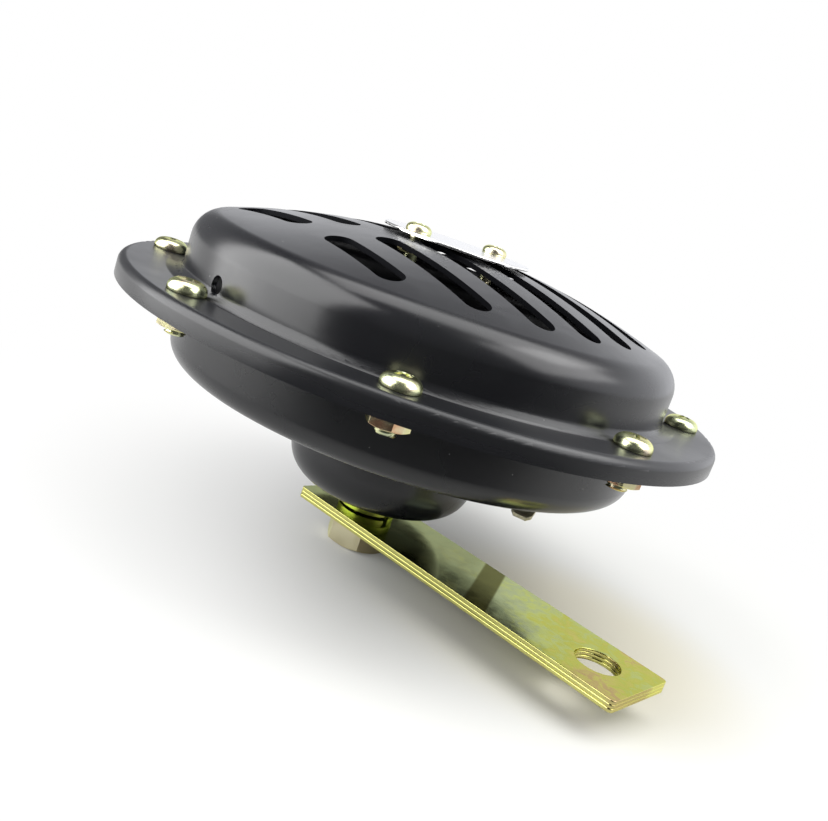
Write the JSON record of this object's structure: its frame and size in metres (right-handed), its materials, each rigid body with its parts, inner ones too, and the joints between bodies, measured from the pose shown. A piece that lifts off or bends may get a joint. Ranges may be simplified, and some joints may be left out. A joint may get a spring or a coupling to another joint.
{
  "type": "car horn",
  "caption": "Round disc horn for a vehicle: slotted black front cover, black drawn rear housing with its drive inside, and a flat yellow-plated bracket with a mounting hole.",
  "frame": {"origin": "centre of the mounting hole at the bracket's free end, half way through the bracket's three leaves", "axes": "+X runs from the horn's bolt out along the bracket to the mounting hole, and +Z runs along the horn's axis, towards the grille. The hole's axis is parallel to it"},
  "size_m": [0.1389, 0.13, 0.0723],
  "materials": {
    "black_paint": "semi-gloss black enamel",
    "yellow_zinc": "yellow chromated zinc plate, smooth",
    "bright_aluminium": "bright rolled sheet",
    "gasket_paper": "oiled gasket paper",
    "phenolic_board": "brown laminated phenolic",
    "bobbin_plastic": "moulded",
    "enamelled_copper": "enamelled copper wire",
    "tinned_brass": "tinned",
    "contact_metal": "ground",
    "plain_steel": "as rolled"
  },
  "bodies": {
    "root": {"adjusting_lock_nut": "yellow_zinc", "adjusting_screw": "yellow_zinc", "armature": "plain_steel", "bracket_leaf_1": "yellow_zinc", "bracket_leaf_2": "yellow_zinc", "bracket_leaf_3": "yellow_zinc", "breaker_base": "phenolic_board", "breaker_rivet_1": "tinned_brass", "breaker_rivet_2": "tinned_brass", "coil_bobbin": "bobbin_plastic", "coil_winding": "enamelled_copper", "contact_arm_spacer": "phenolic_board", "diaphragm": "plain_steel", "fixed_contact_arm": "tinned_brass", "fixed_contact_point": "contact_metal", "flange_nut_1": "yellow_zinc", "flange_nut_2": "yellow_zinc", "flange_nut_3": "yellow_zinc", "flange_nut_4": "yellow_zinc", "flange_nut_5": "yellow_zinc", "flange_nut_6": "yellow_zinc", "flange_nut_7": "yellow_zinc", "flange_nut_8": "yellow_zinc", "flange_screw_1": "yellow_zinc", "flange_screw_2": "yellow_zinc", "flange_screw_3": "yellow_zinc", "flange_screw_4": "yellow_zinc", "flange_screw_5": "yellow_zinc", "flange_screw_6": "yellow_zinc", "flange_screw_7": "yellow_zinc", "flange_screw_8": "yellow_zinc", "front_cover": "black_paint", "lower_gasket": "gasket_paper", "mounting_bolt": "yellow_zinc", "moving_contact_arm": "tinned_brass", "moving_contact_point": "contact_metal", "name_plate": "bright_aluminium", "name_plate_nut_1": "yellow_zinc", "name_plate_nut_2": "yellow_zinc", "name_plate_screw_1": "yellow_zinc", "name_plate_screw_2": "yellow_zinc", "plain_washer": "yellow_zinc", "pole_core": "plain_steel", "rear_housing": "black_paint", "spring_washer": "yellow_zinc", "stem_nut": "plain_steel", "stem_washer": "plain_steel", "terminal_blade_1": "tinned_brass", "terminal_blade_2": "tinned_brass", "terminal_insulator_1": "phenolic_board", "terminal_insulator_2": "phenolic_board", "terminal_rivet_1": "tinned_brass", "terminal_rivet_2": "tinned_brass", "tone_disc": "plain_steel", "tone_disc_spacer": "plain_steel", "upper_gasket": "gasket_paper"}
  },
  "joints": []
}
